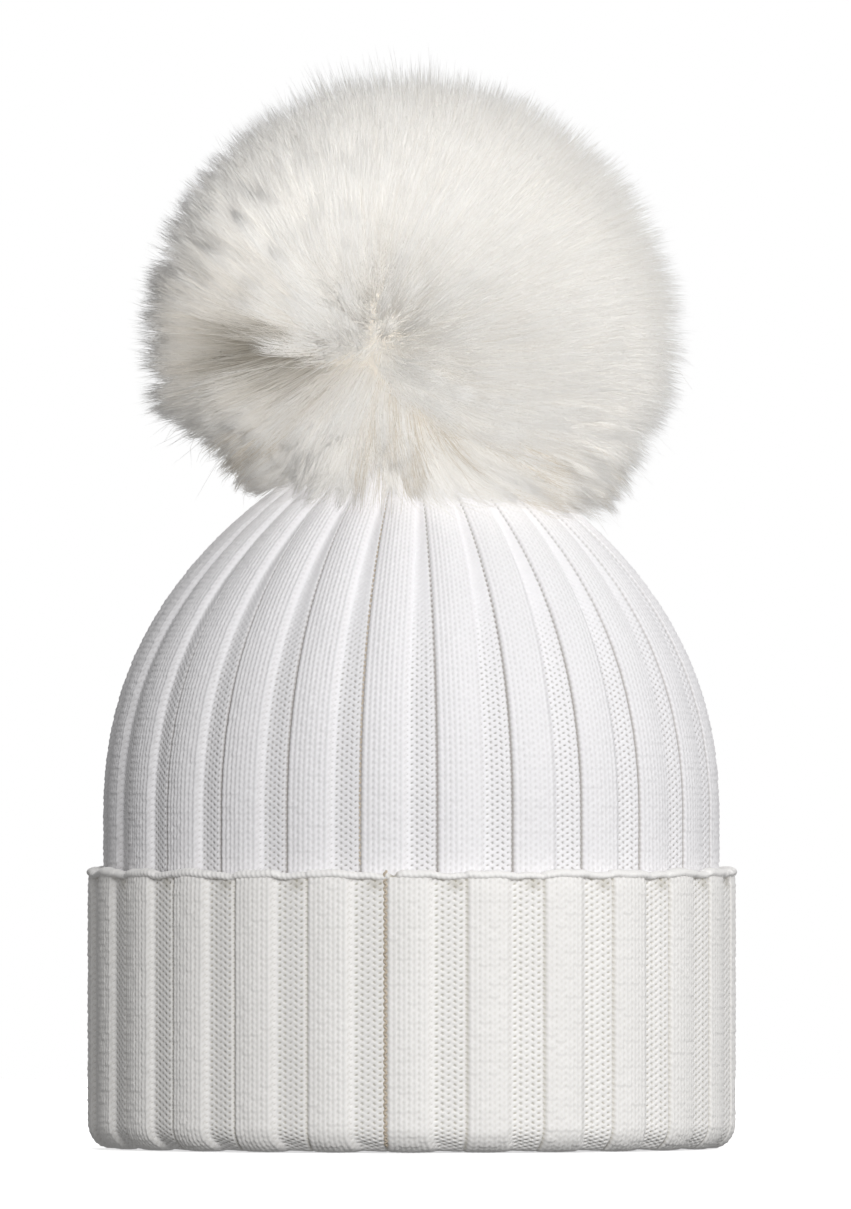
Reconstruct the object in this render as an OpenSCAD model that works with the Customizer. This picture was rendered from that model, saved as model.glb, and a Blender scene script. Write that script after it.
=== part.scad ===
// Ribbed knit beanie with a turned-up cuff and a press-stud fur pompom.
// The hat stands on the fold of its cuff at z = 0, its axis is Z and its back seam faces -Y.

/* [Knit] */
// Outside diameter of the turned-up cuff
cuff_d = 200; // [196:1:212]
// Height of the cuff, fold to rolled edge
cuff_h = 86; // [70:1:95]
// Outside diameter of the knit above the cuff
body_d = 190.4; // [186:0.2:190.6]
// Height of the flat top of the crown
crown_h = 218; // [212:1:224]
// Thickness of the knit from rib to inside
knit_t = 5.2; // [4.8:0.1:5.6]
// Ribs round the hat
ribs = 25; // [20:1:30]
// Share of each rib repeat that stands proud
rib_share = 0.56; // [0.45:0.01:0.65]
// Depth of the troughs between the ribs
rib_depth = 2.2; // [1.5:0.1:2.6]

/* [Pompom] */
// Width of the fur across its middle
fur_w = 164; // [156:1:172]
// Height of the fur's top above the base
fur_top = 333; // [326:1:340]
// Diameter of the stuffed pelt inside the fur
pelt_d = 58; // [54:1:64]
// Diameter of the disc that the pompom is sewn to
base_disc_d = 24; // [22:0.5:25]

/* [Press stud] */
// Diameter of the socket's flange
socket_d = 15; // [14:0.5:16]
// Diameter of the stud's head
stud_head_d = 5.7; // [5.5:0.05:5.75]

/* [Care label] */
// Length of the label from the seam to its free end
label_l = 38; // [25:1:42]
// Height of the label along the seam
label_h = 30; // [20:1:35]

/* [Hidden] */
$fn = 96;

// Knit
cuff_r = cuff_d / 2;
body_r = body_d / 2;
head_r = body_r - knit_t;
pitch = 360 / ribs;
trough_angle = pitch * (1 - rib_share);
// The walls run straight up to here, then draw in
crown_start = 101;
// How far above the flat top the crown's outline would close
apex_rise = 5;
crown_steps = 12;
// Cross-section of the fold: a flat ring to stand on between two rounded sides
fold_top = 8;
fold_flat_r = head_r + 1.2;
fold_flat_w = 1.8;
fold_centre_r = fold_flat_r + fold_flat_w;
fold_lip = 1.4;
fold_steps = 8;
fold_trough_from = -72;
fold_squash = 0.6;
cuff_inner_r = body_r + 0.3;
edge_roll_h = 6;
edge_roll_proud = 0.4;
// The troughs are cut from this far outside the ribs
cut_past = 2;
// The hidden part of the body under the cuff is smooth up to here
rib_start = cuff_h - 14;

// Seams, measured from the back (-Y) towards +X
back_seam_angle = -9.3;
cuff_seam_angle = -4.2;
seam_w = 1.4;
seam_gap = 0.3;
seam_depth = 1.6;

seam_start = cuff_h + 4;

// Crown
crown_button_r = 13;
seam_end_r = crown_button_r + 1;
gather_r = 10.5;
gather_wire = 0.9;
backing_r = 15;
backing_t = 2;
crown_inside = crown_h - knit_t;

// Press stud
rivet_post_r = 2.5;
rivet_bore_r = 1.6;
rivet_flange_t = 0.9;
socket_flange_t = 0.8;
socket_floor_t = 0.9;
socket_tower_r = 5.6;
socket_h = 3.8;
socket_bore_r = 3.2;
spring_wire_r = 0.4;
spring_clearance = 0.1;
stud_head_r = stud_head_d / 2;
stud_neck_r = 2.4;
stud_flange_r = 6.5;
stud_flange_t = 0.8;
stud_gap = 0.3;
spring_r = stud_head_r + 0.05 + spring_wire_r;
spring_z = crown_h + 2.4;
socket_top = crown_h + socket_h;
stud_flange_z = socket_top + stud_gap;
stud_post_r = 1.6;

// Pompom
disc_t = 2;
disc_z = stud_flange_z + stud_flange_t;
stud_rivet_z = disc_z + disc_t;
stud_rivet_t = 0.7;
shank_z = stud_rivet_z + stud_rivet_t;
shank_wraps = 3;
shank_wire = 0.35;
shank_core_r = 2.4;
shank_h = shank_wraps * 2 * shank_wire;
// The pompom leans about this height, between the shank and the pelt
lean_z = shank_z + shank_h + 0.4;
pelt_r = pelt_d / 2;
pelt_t = 1.6;
pelt_z = lean_z + 0.6 + pelt_r;
mouth_r = 2.4;
pelt_gather_r = 7;
pelt_gather_wire = 0.8;
fur_r = fur_w / 2;
fur_rise = fur_r + 1;
fur_z = fur_top - fur_rise;
fur_recess_r = base_disc_d / 2 + 4.5;
// The fur's ball ends here, and its underside rises inwards over the crown
fur_hem_z = crown_h - 12.6;

// Care label
label_t = 0.5;
label_z = 50;
// The label rests flat along the wall, in a shallow press that it has made in the knit
label_gap = 0.05;
label_hinge_r = head_r + label_gap + label_t / 2;
label_angle = label_l / label_hinge_r * 180 / PI;
label_press = 2 * label_gap + label_t;
label_margin = 0.8;

// Colours
body_white = [0.93, 0.93, 0.95];
cuff_ivory = [0.94, 0.93, 0.90];
yarn_tan = [0.80, 0.75, 0.68];
fur_white = [0.93, 0.91, 0.87];

// Points along an elliptical arc in the XZ profile plane
function arc(cx, cz, rx, rz, from, to, n) = [
    for (i = [0:n]) let (a = from + (to - from) * i / n) [cx + rx * cos(a), cz + rz * sin(a)]
];

// Radius of the crown's outline at height z, for a wall radius r and an apex height
function crown_r(z, r, apex) =
    r * pow(1 - pow(max(0, z - crown_start) / (apex - crown_start), 2.3), 0.76);

// Heights that follow the crown, closer together towards the top
function crown_z(i, top) = crown_start + (top - crown_start) * sin(90 * i / crown_steps);

// The crown's outline at a depth below its outer face, from the wall up to the flat top
function crown_line(depth) = [
    for (i = [0:crown_steps]) let (z = crown_z(i, crown_h - depth))
        [crown_r(z, body_r - depth, crown_h + apex_rise - depth), z]
];

function backwards(points) = [for (i = [len(points) - 1:-1:0]) points[i]];

// Turns a profile round the axis over a narrow angle, centred on an angle from the back
module sector(centre, width) {
    rotate([0, 0, centre - 90 - width / 2]) rotate_extrude(angle = width) children();
}

module torus(r, wire, z) {
    translate([0, 0, z]) rotate_extrude() translate([r, 0]) circle(wire, $fn = 32);
}

// A strip of the body's wall between two depths, from a height up over the crown to a radius
module wall_strip(from_z, to_r, depth_out, depth_in) {
    polygon(concat(
        [[body_r - depth_out, from_z]],
        crown_line(depth_out),
        [[to_r, crown_h - depth_out], [to_r, crown_h - depth_in]],
        backwards(crown_line(depth_in)),
        [[body_r - depth_in, from_z]]
    ));
}

// The fold's outline at a depth below its outer face, from under the hat round to the cuff's wall
function fold_line(depth) =
    let (rx = cuff_r - depth - fold_centre_r)
    [for (i = [0:fold_steps]) let (a = fold_trough_from * (1 - i / fold_steps))
        [fold_centre_r + rx * cos(a), fold_top + (fold_top - depth * fold_squash) * sin(a)]];

// A strip of the cuff's outer wall between two depths, from the fold up to the rolled edge
module cuff_strip(depth_out, depth_in, top) {
    polygon(concat(
        fold_line(depth_out),
        [[cuff_r - depth_out, top], [cuff_r - depth_in, top]],
        backwards(fold_line(depth_in))
    ));
}

// Cuts the troughs between the ribs of the knit: the seam runs up one trough, against its rib
module troughs(seam_angle) {
    for (i = [0:ribs - 1]) sector(seam_angle - trough_angle / 2 + i * pitch, trough_angle) children();
}

// Turns a profile over the seam's width, in the trough beside the rib that starts at the seam
module seam_sector(seam_angle) {
    sector(seam_angle - seam_gap - seam_w / 2, seam_w) children();
}

module knit_body() {
    color(body_white) difference() {
        rotate_extrude() polygon(concat(
            [[head_r, fold_top], [body_r, fold_top]],
            crown_line(0),
            [[0, crown_h], [0, crown_inside]],
            backwards(crown_line(knit_t))
        ));
        troughs(back_seam_angle) wall_strip(rib_start, crown_button_r, -cut_past, rib_depth);
        seam_sector(back_seam_angle)
            wall_strip(seam_start, seam_end_r, rib_depth - 1, rib_depth + seam_depth);
        translate([0, 0, crown_inside - 1]) cylinder(r = rivet_post_r, h = knit_t + 2);
        torus(gather_r, gather_wire, crown_h);
        sector(back_seam_angle + label_angle / 2, label_angle + 2 * label_margin)
            translate([head_r - cut_past, label_z - label_margin])
                square([cut_past + label_press, label_h + 2 * label_margin]);
    }
}

module cuff() {
    top = cuff_h - edge_roll_h;
    color(cuff_ivory) difference() {
        rotate_extrude() polygon(concat(
            arc(fold_flat_r, fold_lip, head_r - fold_flat_r, -fold_lip, 0, 90, 4),
            arc(fold_centre_r, fold_top, cuff_r - fold_centre_r, fold_top, -90, 0, 8),
            [[cuff_r, top], [cuff_inner_r, top], [cuff_inner_r, fold_top], [head_r, fold_top]]
        ));
        troughs(cuff_seam_angle) cuff_strip(-cut_past, rib_depth, top + 1);
        seam_sector(cuff_seam_angle) cuff_strip(rib_depth - 1, rib_depth + seam_depth, top + 1);
    }
}

// The cast-on edge rolls over into a soft tube along the cuff's top
module cuff_rolled_edge() {
    half_w = (cuff_r + edge_roll_proud - cuff_inner_r) / 2;
    half_h = edge_roll_h / 2;
    color(cuff_ivory) translate([0, 0, cuff_h - half_h]) rotate_extrude()
        translate([cuff_inner_r + half_w, 0]) polygon(concat(
            arc(0, half_h - 2, half_w, 2, 0, 180, 12),
            [[-half_w, -half_h], [half_w - 1.2, -half_h]]
        ));
}

module back_seam_yarn() {
    color(yarn_tan) seam_sector(back_seam_angle)
        wall_strip(seam_start, seam_end_r, rib_depth, rib_depth + seam_depth);
}

module cuff_seam_yarn() {
    color(yarn_tan) seam_sector(cuff_seam_angle)
        cuff_strip(rib_depth, rib_depth + seam_depth, cuff_h - edge_roll_h);
}

module crown_gather_yarn() {
    color(body_white) torus(gather_r, gather_wire, crown_h);
}

module crown_backing_disc() {
    color("white") translate([0, 0, crown_inside - backing_t]) difference() {
        cylinder(r = backing_r, h = backing_t);
        translate([0, 0, -1]) cylinder(r = rivet_post_r, h = backing_t + 2);
    }
}

// Hollow rivet whose flange lies inside the crown and whose post holds the socket on
module snap_socket_rivet() {
    flange_z = crown_inside - backing_t - rivet_flange_t;
    post_h = crown_h + socket_floor_t - flange_z;
    color("silver") translate([0, 0, flange_z]) difference() {
        union() {
            cylinder(d = socket_d, h = rivet_flange_t);
            cylinder(r = rivet_post_r, h = post_h);
        }
        translate([0, 0, -1]) cylinder(r = rivet_bore_r, h = post_h + 2);
    }
}

module snap_socket() {
    groove_r = spring_r + spring_wire_r + spring_clearance;
    groove_h = 2 * (spring_wire_r + spring_clearance);
    color("silver") difference() {
        translate([0, 0, crown_h]) union() {
            cylinder(d = socket_d, h = socket_flange_t);
            cylinder(r = socket_tower_r, h = socket_h);
        }
        translate([0, 0, crown_h - 1]) cylinder(r = rivet_post_r, h = socket_floor_t + 2);
        translate([0, 0, crown_h + socket_floor_t]) cylinder(r = socket_bore_r, h = socket_h);
        translate([0, 0, spring_z - groove_h / 2]) cylinder(r = groove_r, h = groove_h);
    }
}

// Split ring of spring wire that the stud's head snaps through
module snap_ring_spring() {
    color("gold") translate([0, 0, spring_z]) rotate([0, 0, 15]) rotate_extrude(angle = 330)
        translate([spring_r, 0]) circle(spring_wire_r, $fn = 32);
}

module snap_stud() {
    head_z = crown_h + socket_floor_t + 0.15;
    head_h = spring_z - spring_wire_r - 0.1 - head_z;
    color("silver") difference() {
        union() {
            translate([0, 0, head_z]) cylinder(r1 = stud_head_r - 0.5, r2 = stud_head_r, h = 0.4);
            translate([0, 0, head_z + 0.4]) cylinder(r = stud_head_r, h = head_h - 0.4);
            translate([0, 0, head_z + 0.2]) cylinder(r = stud_neck_r, h = disc_z - head_z - 0.2);
            translate([0, 0, stud_flange_z]) cylinder(r = stud_flange_r, h = stud_flange_t);
        }
        translate([0, 0, head_z + 0.6]) cylinder(r = stud_post_r, h = disc_z);
    }
}

// Rivet whose flange lies on the pompom's disc and whose post holds the stud on
module snap_stud_rivet() {
    post_z = spring_z;
    color("silver") union() {
        translate([0, 0, stud_rivet_z]) cylinder(r = stud_flange_r, h = stud_rivet_t);
        translate([0, 0, post_z]) cylinder(r = stud_post_r, h = stud_rivet_z + stud_rivet_t - post_z);
    }
}

module pompom_base_disc() {
    color("white") translate([0, 0, disc_z]) difference() {
        cylinder(d = base_disc_d, h = disc_t);
        translate([0, 0, -1]) cylinder(r = stud_post_r, h = disc_t + 2);
    }
}

// Thread wound round the stitches between the disc and the pelt
module pompom_shank_thread() {
    color("ivory") union() {
        translate([0, 0, shank_z]) cylinder(r = shank_core_r, h = shank_h);
        for (i = [0:shank_wraps - 1]) torus(shank_core_r, shank_wire, shank_z + shank_wire * (2 * i + 1));
    }
}

module pelt_gather_thread() {
    drop = sqrt(pelt_r * pelt_r - pelt_gather_r * pelt_gather_r);
    color("ivory") torus(pelt_gather_r, pelt_gather_wire, pelt_z - drop);
}

module pompom_pelt() {
    color([0.90, 0.86, 0.79]) difference() {
        translate([0, 0, pelt_z]) sphere(r = pelt_r);
        pompom_stuffing();
        translate([0, 0, pelt_z - pelt_r - 1]) cylinder(r = mouth_r, h = pelt_r);
        pelt_gather_thread();
    }
}

module pompom_stuffing() {
    color("white") translate([0, 0, pelt_z]) sphere(r = pelt_r - pelt_t);
}

// The fur's outline, with a hollow underside that stays clear of the crown as the pompom leans
module pompom_fur() {
    hem_angle = -asin((fur_z - fur_hem_z) / fur_rise);
    inside_pelt = pelt_z - 20;
    color(fur_white) difference() {
        rotate_extrude() polygon(concat(
            arc(0, fur_z, fur_r, fur_rise, 90, hem_angle, 30),
            [[57, crown_h - 12], [50, crown_h - 8.5], [40, crown_h - 3], [30, crown_h + 1]],
            [[fur_recess_r, crown_h + 4.8], [fur_recess_r, inside_pelt], [0, inside_pelt]]
        ));
        translate([0, 0, pelt_z]) sphere(r = pelt_r);
    }
}

// Blank woven label, sewn to the inside of the back seam, that flips inwards from the wall
module care_label() {
    color("white") union() {
        rotate([0, 0, back_seam_angle]) translate([0, -label_hinge_r, label_z])
            cylinder(d = label_t, h = label_h);
        sector(back_seam_angle + label_angle / 2, label_angle)
            translate([label_hinge_r - label_t / 2, label_z]) square([label_t, label_h]);
    }
}

knit_body();
cuff();
cuff_rolled_edge();
back_seam_yarn();
cuff_seam_yarn();
crown_gather_yarn();
crown_backing_disc();
snap_socket();
snap_socket_rivet();
snap_ring_spring();
snap_stud();
snap_stud_rivet();
pompom_base_disc();
pompom_shank_thread();
pelt_gather_thread();
pompom_pelt();
pompom_stuffing();
pompom_fur();
care_label();
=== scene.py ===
"""Ribbed knit beanie with a turned-up cuff and a fur pompom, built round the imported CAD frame.

Lengths are in millimetres until a mesh is made. The back of the hat, with its seams, is at -Y and faces
the camera. Angles round the hat start there and grow towards +X, so a point at angle a and radius r
lies at (r sin a, -r cos a).
"""
import math

import bpy
import numpy as np
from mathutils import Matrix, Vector


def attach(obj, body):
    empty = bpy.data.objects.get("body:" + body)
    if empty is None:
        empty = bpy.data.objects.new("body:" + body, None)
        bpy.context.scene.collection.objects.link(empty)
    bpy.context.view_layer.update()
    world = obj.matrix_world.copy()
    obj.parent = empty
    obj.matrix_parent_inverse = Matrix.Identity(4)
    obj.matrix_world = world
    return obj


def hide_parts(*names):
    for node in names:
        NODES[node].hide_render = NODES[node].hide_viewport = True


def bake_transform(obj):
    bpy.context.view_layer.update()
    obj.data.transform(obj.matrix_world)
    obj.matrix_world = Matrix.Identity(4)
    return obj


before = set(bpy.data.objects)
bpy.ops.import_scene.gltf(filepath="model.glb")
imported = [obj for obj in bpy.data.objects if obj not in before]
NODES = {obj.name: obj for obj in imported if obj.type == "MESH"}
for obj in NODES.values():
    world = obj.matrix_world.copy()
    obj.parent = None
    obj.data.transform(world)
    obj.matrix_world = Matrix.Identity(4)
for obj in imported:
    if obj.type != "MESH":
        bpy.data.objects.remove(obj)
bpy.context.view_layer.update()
MM = 0.001
TAU = 2 * math.pi

# Knit: ribs round the hat, mesh columns and rows, and the height of one course of stitches
RIBS = 25
PITCH = 360 / RIBS
COLUMNS_PER_RIB = 56
COLUMNS = RIBS * COLUMNS_PER_RIB
COURSE = 1.95
ROWS_PER_COURSE = 5
ROW_STEP = COURSE / ROWS_PER_COURSE
KNIT_WALES = 4
PURL_COLUMNS = 3.3
RIB_DEPTH = 2.0
JITTER_COURSES = 128
JITTER_PER_RIB = 6
# Place in the rib repeat of the tight crease before the next rib
CREASE_PHASE = 0.974
# Angles of the two seams, in degrees
BODY_SEAM = -9.3
CUFF_SEAM = -4.2

# Hat outline: radii, heights and the two exponents of the crown's curve
BODY_R = 95.2
HEAD_R = 90.0
CROWN_START = 101.0
CROWN_APEX = 223.0
CROWN_TOP = 218.0
CROWN_INSIDE = 212.8
CROWN_RISE = 2.3
CROWN_ROUND = 0.76
INSIDE_DROP = 5.2
RIVET_HOLE_R = 2.7
SHOWN_FROM = 78.0
CUFF_R = 100.0
CUFF_INNER_R = 95.45
CUFF_TOP = 84.2
FOLD_TOP = 8.0
FOLD_MIDDLE_R = 93.0
EDGE_R = 97.6
EDGE_HEIGHT = 84.85

# Care label
LABEL_R = 90.3
LABEL_LENGTH = 38.0
LABEL_HEIGHT = 30.0
LABEL_LOW = 50.0
LABEL_TURN = math.degrees(LABEL_LENGTH / LABEL_R)

# Pompom: the fur's outline, the pelt ball, and the hollow under the fur as (radius, height) points
FUR_CENTRE = np.array([0.0, 0.0, 250.0])
FUR_SIZE = np.array([87.0, 87.0, 85.5])
PELT_CENTRE = np.array([0.0, 0.0, 257.7])
PELT_R = 29.0
RECESS_R = 16.5
UNDERSIDE = np.array([[57, 208.0], [50, 211.0], [40, 216.2], [30, 220.0], [RECESS_R, 223.6]])
UNDERFUR_R = 50.0
UNDERFUR_HEIGHT = 252
# Directions from the middle of the fur
WHORL = np.array([-0.31, -0.92, -0.25])
PARTING_END = np.array([-0.15, -0.76, -0.62])
# The next direction is where the painted shade deep in the fur is strongest
SHADED_LOCKS = np.array([-0.92, -0.30, -0.26])
HANGING_LOCK = np.array([-0.38, -0.68, -0.62])
CREST = np.array([-0.20, -0.10, 0.97])
STRANDS = 90000
CLUMPS = 2600
LOCKS = 420
FUR_PIECES = 14
HAIR_SEGMENTS = 5
HAIR_SIDES = 3
HAIR_R = 0.11


# ---------------------------------------------------------------- small helpers


def smooth(t):
    """An eased step from 0 to 1 as t goes from 0 to 1."""
    t = np.clip(t, 0, 1)
    return t * t * (3 - 2 * t)


def unit(v):
    """Vectors scaled to length 1."""
    return v / np.maximum(np.linalg.norm(v, axis=-1, keepdims=True), 1e-9)


def crown_z(r):
    """Height of the crown's outer face at a radius."""
    t = np.clip(1 - (np.asarray(r, float) / BODY_R) ** (1 / CROWN_ROUND), 0, 1)
    return np.minimum(CROWN_START + (CROWN_APEX - CROWN_START) * t ** (1 / CROWN_RISE), CROWN_TOP)


def make_object(name, points, quads, tris, values=None, material=None):
    """A smooth-shaded mesh object from points in mm, with a float attribute for each entry of values."""
    quads = np.asarray(quads, np.int32).reshape(-1, 4)
    tris = np.asarray(tris, np.int32).reshape(-1, 3)
    mesh = bpy.data.meshes.new(name)
    mesh.vertices.add(len(points))
    mesh.vertices.foreach_set("co", (np.asarray(points) * MM).astype(np.float32).ravel())
    mesh.loops.add(4 * len(quads) + 3 * len(tris))
    mesh.loops.foreach_set("vertex_index", np.concatenate([quads.ravel(), tris.ravel()]))
    sizes = np.concatenate([np.full(len(quads), 4), np.full(len(tris), 3)])
    starts = np.concatenate([[0], np.cumsum(sizes)[:-1]]).astype(np.int32)
    mesh.polygons.add(len(sizes))
    mesh.polygons.foreach_set("loop_start", starts)
    mesh.update(calc_edges=True)
    mesh.polygons.foreach_set("use_smooth", np.ones(len(sizes), bool))
    for key, numbers in (values or {}).items():
        layer = mesh.attributes.new(key, "FLOAT", "POINT")
        layer.data.foreach_set("value", np.asarray(numbers, np.float32).ravel())
    if material:
        mesh.materials.append(material)
    obj = bpy.data.objects.new(name, mesh)
    bpy.context.scene.collection.objects.link(obj)
    return obj


def grid_quads(rows, columns, start):
    """Quads of a grid of rings, closed round each ring."""
    j, i = np.meshgrid(np.arange(rows - 1), np.arange(columns), indexing="ij")
    right = (i + 1) % columns
    return (start + np.stack([j * columns + i, j * columns + right,
                              (j + 1) * columns + right, (j + 1) * columns + i], -1)).reshape(-1, 4)


def bridge(a, na, b, nb):
    """Faces between ring a and the next ring b, whose counts are the same or twice each other."""
    if na == nb:
        i = np.arange(na)
        right = (i + 1) % na
        return np.stack([a + i, a + right, b + right, b + i], -1), np.zeros((0, 3), int)
    n = min(na, nb)
    i = np.arange(n)
    right = (i + 1) % n
    left2, mid2, right2 = 2 * i, 2 * i + 1, 2 * right
    if na > nb:
        tris = [(a + left2, a + mid2, b + i),
                (a + mid2, b + right, b + i),
                (a + mid2, a + right2, b + right)]
    else:
        tris = [(a + i, b + mid2, b + left2),
                (a + i, a + right, b + mid2),
                (a + right, b + right2, b + mid2)]
    return np.zeros((0, 4), int), np.concatenate([np.stack(t, -1) for t in tris])


def closed_sheet(name, sections, material):
    """One closed mesh from (points, pit) sections of rings that together go round the outline's loop."""
    points, pits, quads, tris, rings = [], [], [], [], []
    at = 0
    for grid, pit in sections:
        rows, columns = grid.shape[:2]
        quads.append(grid_quads(rows, columns, at))
        rings.append((at, at + (rows - 1) * columns, columns))
        points.append(grid.reshape(-1, 3))
        pits.append(np.broadcast_to(pit, (rows, columns)).ravel())
        at += rows * columns
    for k, (_, last, columns) in enumerate(rings):
        first, _, following = rings[(k + 1) % len(rings)]
        more_quads, more_tris = bridge(last, columns, first, following)
        quads.append(more_quads)
        tris.append(more_tris)
    return make_object(name, np.concatenate(points), np.concatenate(quads), np.concatenate(tris),
                       {"pit": np.concatenate(pits)}, material)


def resample(line, step):
    """Points a step apart along a polyline of (r, z), with each one's distance from the start."""
    line = np.asarray(line, float)
    at = np.concatenate([[0], np.cumsum(np.hypot(*np.diff(line, axis=0).T))])
    count = max(2, int(round(at[-1] / step)) + 1)
    s = np.linspace(0, at[-1], count)
    return np.stack([np.interp(s, at, line[:, 0]), np.interp(s, at, line[:, 1])], -1), s


def outline_normals(line):
    """Outward normals of an outline that runs up the outside."""
    tangent = unit(np.gradient(line, axis=0))
    return np.stack([tangent[:, 1], -tangent[:, 0]], -1)


def turned(line, normals, angles, height):
    """Rings of points: each outline point pushed out along its normal and turned to each angle."""
    r = line[:, :1] + normals[:, :1] * height
    z = line[:, 1:] + normals[:, 1:] * height
    return np.stack([r * np.sin(angles), -r * np.cos(angles), z + 0 * angles], -1)


# ---------------------------------------------------------------- materials


def new_material(name):
    """A new material, with its nodes, its links and its main shader."""
    material = bpy.data.materials.new(name)
    material.use_nodes = True
    nodes = material.node_tree.nodes
    return material, nodes, material.node_tree.links, nodes["Principled BSDF"]


def colour_mix(nodes, links, factor, a, b):
    """A colour mixed from a to b by a factor socket. Each of a and b is a colour or a socket."""
    mix = nodes.new("ShaderNodeMix")
    mix.data_type = "RGBA"
    links.new(factor, mix.inputs["Factor"])
    for socket, value in ((mix.inputs["A"], a), (mix.inputs["B"], b)):
        if isinstance(value, tuple):
            socket.default_value = (*value, 1)
        else:
            links.new(value, socket)
    return mix.outputs["Result"]


def noise(nodes, links, scale, detail=3.0, stretch=None):
    """A noise factor in object coordinates, stretched by three scale factors."""
    place = nodes.new("ShaderNodeTexCoord").outputs["Object"]
    if stretch:
        mapping = nodes.new("ShaderNodeMapping")
        mapping.inputs["Scale"].default_value = stretch
        links.new(place, mapping.inputs["Vector"])
        place = mapping.outputs["Vector"]
    texture = nodes.new("ShaderNodeTexNoise")
    texture.inputs["Scale"].default_value = scale
    texture.inputs["Detail"].default_value = detail
    links.new(place, texture.inputs["Vector"])
    return texture.outputs["Fac"]


def attribute(nodes, name):
    """A mesh attribute's value."""
    node = nodes.new("ShaderNodeAttribute")
    node.attribute_name = name
    return node.outputs["Fac"]


def bump(nodes, links, shader, height, strength, distance):
    """Gives a shader the fine relief of a height socket, distance metres deep."""
    node = nodes.new("ShaderNodeBump")
    node.inputs["Strength"].default_value = strength
    node.inputs["Distance"].default_value = distance
    links.new(height, node.inputs["Height"])
    links.new(node.outputs["Normal"], shader.inputs["Normal"])


def yarn_material(name, light, dark, painted_shade_colour, fibre_scale=1500):
    """Wool yarn: a soft white with fine fibres, a slow change of tone, and painted shade in its holes and
    creases, where the pit attribute is set.
    """
    material, nodes, links, shader = new_material(name)
    tone = colour_mix(nodes, links, noise(nodes, links, 45), dark, light)
    # Painted shade: the pit attribute mixes in a dark colour for holes, creases and hollows
    colour = colour_mix(nodes, links, attribute(nodes, "pit"), tone, painted_shade_colour)
    links.new(colour, shader.inputs["Base Color"])
    shader.inputs["Roughness"].default_value = 0.9
    shader.inputs["Sheen Weight"].default_value = 0.2
    shader.inputs["Sheen Roughness"].default_value = 0.6
    shader.inputs["Specular IOR Level"].default_value = 0.2
    bump(nodes, links, shader, noise(nodes, links, fibre_scale, 4.0, (1, 1, 0.35)), 0.6, 0.12 * MM)
    return material


def soften_normals(nodes, links, shader, share):
    """Turns the shading of single hairs part of the way towards that of the whole ball."""

    def vector_math(operation, a, b):
        node = nodes.new("ShaderNodeVectorMath")
        node.operation = operation
        for socket, value in zip(node.inputs, (a, b)):
            if isinstance(value, tuple):
                socket.default_value = value
            elif value is not None:
                links.new(value, socket)
        return node.outputs["Vector"]

    place = nodes.new("ShaderNodeTexCoord").outputs["Object"]
    own = nodes.new("ShaderNodeNewGeometry").outputs["Normal"]
    low_centre = (0.0, 0.0, (FUR_CENTRE[2] - 40) * MM)
    outward = vector_math("NORMALIZE", vector_math("SUBTRACT", place, low_centre), None)
    both = vector_math("ADD", vector_math("MULTIPLY", outward, (share,) * 3),
                       vector_math("MULTIPLY", own, (1 - share,) * 3))
    links.new(vector_math("NORMALIZE", both, None), shader.inputs["Normal"])


def fur_material():
    """White fur, with painted shade that makes it warmer and darker deep in the pile, a slightly different
    tone from hair to hair, and painted shade on some hem hairs.
    """
    material, nodes, links, shader = new_material("fur")
    ramp = nodes.new("ShaderNodeValToRGB")
    # Painted shade: the depth attribute darkens and warms hairs deep in the pile
    links.new(attribute(nodes, "depth"), ramp.inputs["Fac"])
    stops = ramp.color_ramp.elements
    stops[0].position, stops[0].color = 0.05, (0.85, 0.84, 0.82, 1)
    stops[1].position, stops[1].color = 0.34, (0.36, 0.335, 0.29, 1)
    middle = stops.new(0.17)
    middle.color = (0.77, 0.745, 0.705, 1)
    # Mixes in a random tone from hair to hair and painted shade on some hem hairs
    tone_and_shade = colour_mix(nodes, links, attribute(nodes, "tone_and_shade"), ramp.outputs["Color"], (0.60, 0.53, 0.43))
    links.new(tone_and_shade, shader.inputs["Base Color"])
    shader.inputs["Roughness"].default_value = 0.6
    shader.inputs["Specular IOR Level"].default_value = 0.3
    soften_normals(nodes, links, shader, 0.25)
    return material


def underfur_material():
    """The dense short wool between the long hairs, streaked at random, in a beige darker than the hairs that
    is painted shade deep in the pile.
    """
    material, nodes, links, shader = new_material("underfur")
    streaks = noise(nodes, links, 260, 4.0)
    # Painted shade: a darker beige than the hairs, with random streaks
    colour = colour_mix(nodes, links, streaks, (0.66, 0.61, 0.54), (0.80, 0.76, 0.70))
    links.new(colour, shader.inputs["Base Color"])
    shader.inputs["Roughness"].default_value = 1.0
    bump(nodes, links, shader, streaks, 0.6, 1.0 * MM)
    return material


def felt_material(name, colour, shade):
    """Matted fibres: felt discs and the wadding."""
    material, nodes, links, shader = new_material(name)
    fibres = noise(nodes, links, 900, 6.0)
    links.new(colour_mix(nodes, links, fibres, shade, colour), shader.inputs["Base Color"])
    shader.inputs["Roughness"].default_value = 1.0
    shader.inputs["Sheen Weight"].default_value = 0.3
    bump(nodes, links, shader, fibres, 0.8, 0.25 * MM)
    return material


def metal_material(name, colour, roughness):
    """Plated metal with faint turning marks and a little wear in its tone."""
    material, nodes, links, shader = new_material(name)
    wear = noise(nodes, links, 300, 4.0)
    darker = tuple(0.72 * c for c in colour)
    links.new(colour_mix(nodes, links, wear, darker, colour), shader.inputs["Base Color"])
    shader.inputs["Metallic"].default_value = 1.0
    shader.inputs["Roughness"].default_value = roughness
    bump(nodes, links, shader, noise(nodes, links, 2500, 2.0, (0.2, 0.2, 6)), 0.15, 0.03 * MM)
    return material


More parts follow.
